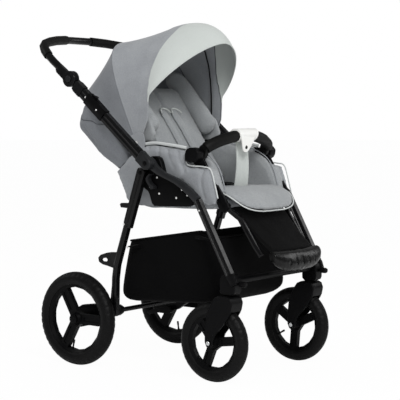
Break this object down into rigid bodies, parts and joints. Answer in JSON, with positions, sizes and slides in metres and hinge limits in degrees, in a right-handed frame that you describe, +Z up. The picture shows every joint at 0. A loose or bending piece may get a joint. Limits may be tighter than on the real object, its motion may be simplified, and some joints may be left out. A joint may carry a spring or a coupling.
{
  "type": "pram with pushchair seat",
  "caption": "Pram with a pushchair seat on a folding frame with swivelling front wheels, hinged canopy, bumper bar, footrest and basket.",
  "frame": {"origin": "middle of the footprint, on the ground", "axes": "+Z up, the pram faces -Y, its right side is -X"},
  "size_m": [0.5776, 0.949, 1.1105],
  "materials": {
    "black plastic": "moulded, fine texture",
    "black coated tube": "black powder coat",
    "grey plastic": "moulded, satin",
    "tyre rubber": "matt rubber with tread",
    "handle foam": "closed cell foam",
    "grey melange cloth": "woven melange",
    "pale grey cloth": "smooth woven",
    "white leatherette": "smooth, matt",
    "black cloth": "plain woven and mesh"
  },
  "bodies": {
    "chassis": {"side_plate_right": "black plastic", "side_plate_left": "black plastic", "leg_sleeve_right": "grey plastic", "leg_sleeve_left": "grey plastic", "front_leg_right": "black coated tube", "front_leg_left": "black coated tube", "front_beam": "black plastic", "basket": "black cloth"},
    "handle_frame": {"handle_tube_right": "black coated tube", "handle_tube_left": "black coated tube", "tube_socket_right": "grey plastic", "tube_socket_left": "grey plastic"},
    "handle_bar": {"handle_bar": "black coated tube", "grip_right": "handle foam", "grip_left": "handle foam"},
    "rear_frame": {"rear_leg_right": "black coated tube", "rear_leg_left": "black coated tube", "rear_cross_tube": "black coated tube"},
    "seat_unit": {"seat_frame": "black plastic", "seat_base": "grey melange cloth", "seat_pad": "grey melange cloth", "side_panel_right": "grey melange cloth", "side_panel_left": "grey melange cloth", "canopy_rear_panel": "grey melange cloth", "canopy_mid_panel": "grey melange cloth", "buckle": "black plastic"},
    "canopy_front": {"canopy_brim": "pale grey cloth", "canopy_front_bow": "black plastic"},
    "backrest": {"backrest_shell": "grey melange cloth", "backrest_pad": "grey melange cloth", "shoulder_pad_right": "pale grey cloth", "shoulder_pad_left": "pale grey cloth"},
    "bumper": {"bumper_bar": "black plastic", "bumper_strap": "white leatherette"},
    "footrest": {"footrest_frame": "black coated tube", "footrest_panel": "black cloth", "foot_tray": "black cloth", "apron": "grey melange cloth"},
    "release_slider_right": {"release_slider_right": "black plastic"},
    "angle_button_right": {"angle_button_right": "grey plastic"},
    "lock_lever_right": {"lock_lever_right": "grey plastic"},
    "swivel_lock_right": {"swivel_lock_right": "black plastic"},
    "swing_arm_right": {"swing_arm_right": "black plastic"},
    "rear_wheel_right": {"rear_rim_right": "black plastic", "rear_tyre_right": "tyre rubber"},
    "brake_pedal_right": {"brake_pedal_right": "black plastic"},
    "fork_right": {"fork_right": "black plastic"},
    "front_wheel_right": {"front_rim_right": "black plastic", "front_tyre_right": "tyre rubber"},
    "release_slider_left": {"release_slider_left": "black plastic"},
    "angle_button_left": {"angle_button_left": "grey plastic"},
    "lock_lever_left": {"lock_lever_left": "grey plastic"},
    "swivel_lock_left": {"swivel_lock_left": "black plastic"},
    "swing_arm_left": {"swing_arm_left": "black plastic"},
    "rear_wheel_left": {"rear_rim_left": "black plastic", "rear_tyre_left": "tyre rubber"},
    "brake_pedal_left": {"brake_pedal_left": "black plastic"},
    "fork_left": {"fork_left": "black plastic"},
    "front_wheel_left": {"front_rim_left": "black plastic", "front_tyre_left": "tyre rubber"}
  },
  "joints": [
    {"name": "handle_fold", "type": "hinge", "parent": "chassis", "child": "handle_frame", "pos_m": [0, -0.0695, 0.665], "axis": [1, 0, 0], "range_deg": [0, 178]},
    {"name": "rear_fold", "type": "hinge", "parent": "chassis", "child": "rear_frame", "pos_m": [0, -0.0305, 0.633], "axis": [1, 0, 0], "range_deg": [-26.1, 0]},
    {"name": "handle_angle", "type": "hinge", "parent": "handle_frame", "child": "handle_bar", "pos_m": [0, 0.24442, 0.93028], "axis": [-1, 0, 0], "range_deg": [-30, 50]},
    {"name": "seat_lift", "type": "slide", "parent": "chassis", "child": "seat_unit", "axis": [0, 0, 1], "range_m": [0, 0.07]},
    {"name": "backrest_tilt", "type": "hinge", "parent": "seat_unit", "child": "backrest", "pos_m": [0, 0.0465, 0.59], "axis": [1, 0, 0], "range_deg": [0, 20]},
    {"name": "canopy_swing", "type": "hinge", "parent": "seat_unit", "child": "canopy_front", "pos_m": [0, 0.0265, 0.715], "axis": [-1, 0, 0], "range_deg": [0, 27], "deforming": ["canopy_mid_panel"]},
    {"name": "bumper_swing", "type": "hinge", "parent": "seat_unit", "child": "bumper", "pos_m": [0, -0.2065, 0.692], "axis": [-1, 0, 0], "range_deg": [0, 40]},
    {"name": "footrest_tilt", "type": "hinge", "parent": "seat_unit", "child": "footrest", "pos_m": [0, -0.2985, 0.533], "axis": [-1, 0, 0], "range_deg": [0, 30]},
    {"name": "fold_release_right", "type": "slide", "parent": "handle_frame", "child": "release_slider_right", "axis": [0, 0.7638, 0.6455], "range_m": [0, 0.018], "stiffness_N_per_m": 300, "springref_m": -0.01},
    {"name": "angle_button_right_push", "type": "slide", "parent": "handle_bar", "child": "angle_button_right", "axis": [1, 0, 0], "range_m": [0, 0.004], "stiffness_N_per_m": 500, "springref_m": -0.003},
    {"name": "lock_lever_right_pull", "type": "hinge", "parent": "chassis", "child": "lock_lever_right", "pos_m": [0, -0.0745, 0.592], "axis": [1, 0, 0], "range_deg": [0, 12], "stiffness_Nm_per_rad": 2, "springref_deg": -5.73},
    {"name": "swivel_lock_right_pull", "type": "slide", "parent": "chassis", "child": "swivel_lock_right", "axis": [0, -1, 0], "range_m": [0, 0.006], "stiffness_N_per_m": 500, "springref_m": -0.003},
    {"name": "suspension_right", "type": "hinge", "parent": "rear_frame", "child": "swing_arm_right", "pos_m": [0, 0.104, 0.183], "axis": [1, 0, 0], "range_deg": [0, 10], "stiffness_Nm_per_rad": 27, "springref_deg": -17.19},
    {"name": "rear_spin_right", "type": "hinge", "parent": "swing_arm_right", "child": "rear_wheel_right", "pos_m": [-0.2612, 0.231, 0.1525], "axis": [1, 0, 0], "continuous": true},
    {"name": "brake_right", "type": "hinge", "parent": "swing_arm_right", "child": "brake_pedal_right", "pos_m": [0, 0.195, 0.1325], "axis": [1, 0, 0], "range_deg": [0, 20]},
    {"name": "swivel_right", "type": "hinge", "parent": "chassis", "child": "fork_right", "pos_m": [-0.2313, -0.3494, 0.2697], "axis": [0, 0, 1], "continuous": true},
    {"name": "front_spin_right", "type": "hinge", "parent": "fork_right", "child": "front_wheel_right", "pos_m": [-0.2313, -0.298, 0.1225], "axis": [1, 0, 0], "continuous": true},
    {"name": "fold_release_left", "type": "slide", "parent": "handle_frame", "child": "release_slider_left", "axis": [0, 0.7638, 0.6455], "range_m": [0, 0.018], "stiffness_N_per_m": 300, "springref_m": -0.01},
    {"name": "angle_button_left_push", "type": "slide", "parent": "handle_bar", "child": "angle_button_left", "axis": [-1, 0, 0], "range_m": [0, 0.004], "stiffness_N_per_m": 500, "springref_m": -0.003},
    {"name": "lock_lever_left_pull", "type": "hinge", "parent": "chassis", "child": "lock_lever_left", "pos_m": [0, -0.0745, 0.592], "axis": [1, 0, 0], "range_deg": [0, 12], "stiffness_Nm_per_rad": 2, "springref_deg": -5.73},
    {"name": "swivel_lock_left_pull", "type": "slide", "parent": "chassis", "child": "swivel_lock_left", "axis": [0, -1, 0], "range_m": [0, 0.006], "stiffness_N_per_m": 500, "springref_m": -0.003},
    {"name": "suspension_left", "type": "hinge", "parent": "rear_frame", "child": "swing_arm_left", "pos_m": [0, 0.104, 0.183], "axis": [1, 0, 0], "range_deg": [0, 10], "stiffness_Nm_per_rad": 27, "springref_deg": -17.19},
    {"name": "rear_spin_left", "type": "hinge", "parent": "swing_arm_left", "child": "rear_wheel_left", "pos_m": [0.2612, 0.231, 0.1525], "axis": [1, 0, 0], "continuous": true},
    {"name": "brake_left", "type": "hinge", "parent": "swing_arm_left", "child": "brake_pedal_left", "pos_m": [0, 0.195, 0.1325], "axis": [1, 0, 0], "range_deg": [0, 20]},
    {"name": "swivel_left", "type": "hinge", "parent": "chassis", "child": "fork_left", "pos_m": [0.2313, -0.3494, 0.2697], "axis": [0, 0, 1], "continuous": true},
    {"name": "front_spin_left", "type": "hinge", "parent": "fork_left", "child": "front_wheel_left", "pos_m": [0.2313, -0.298, 0.1225], "axis": [1, 0, 0], "continuous": true}
  ],
  "couplings": [
    {"joint": "rear_fold", "follows": "handle_fold", "ratio": -0.14607}
  ]
}
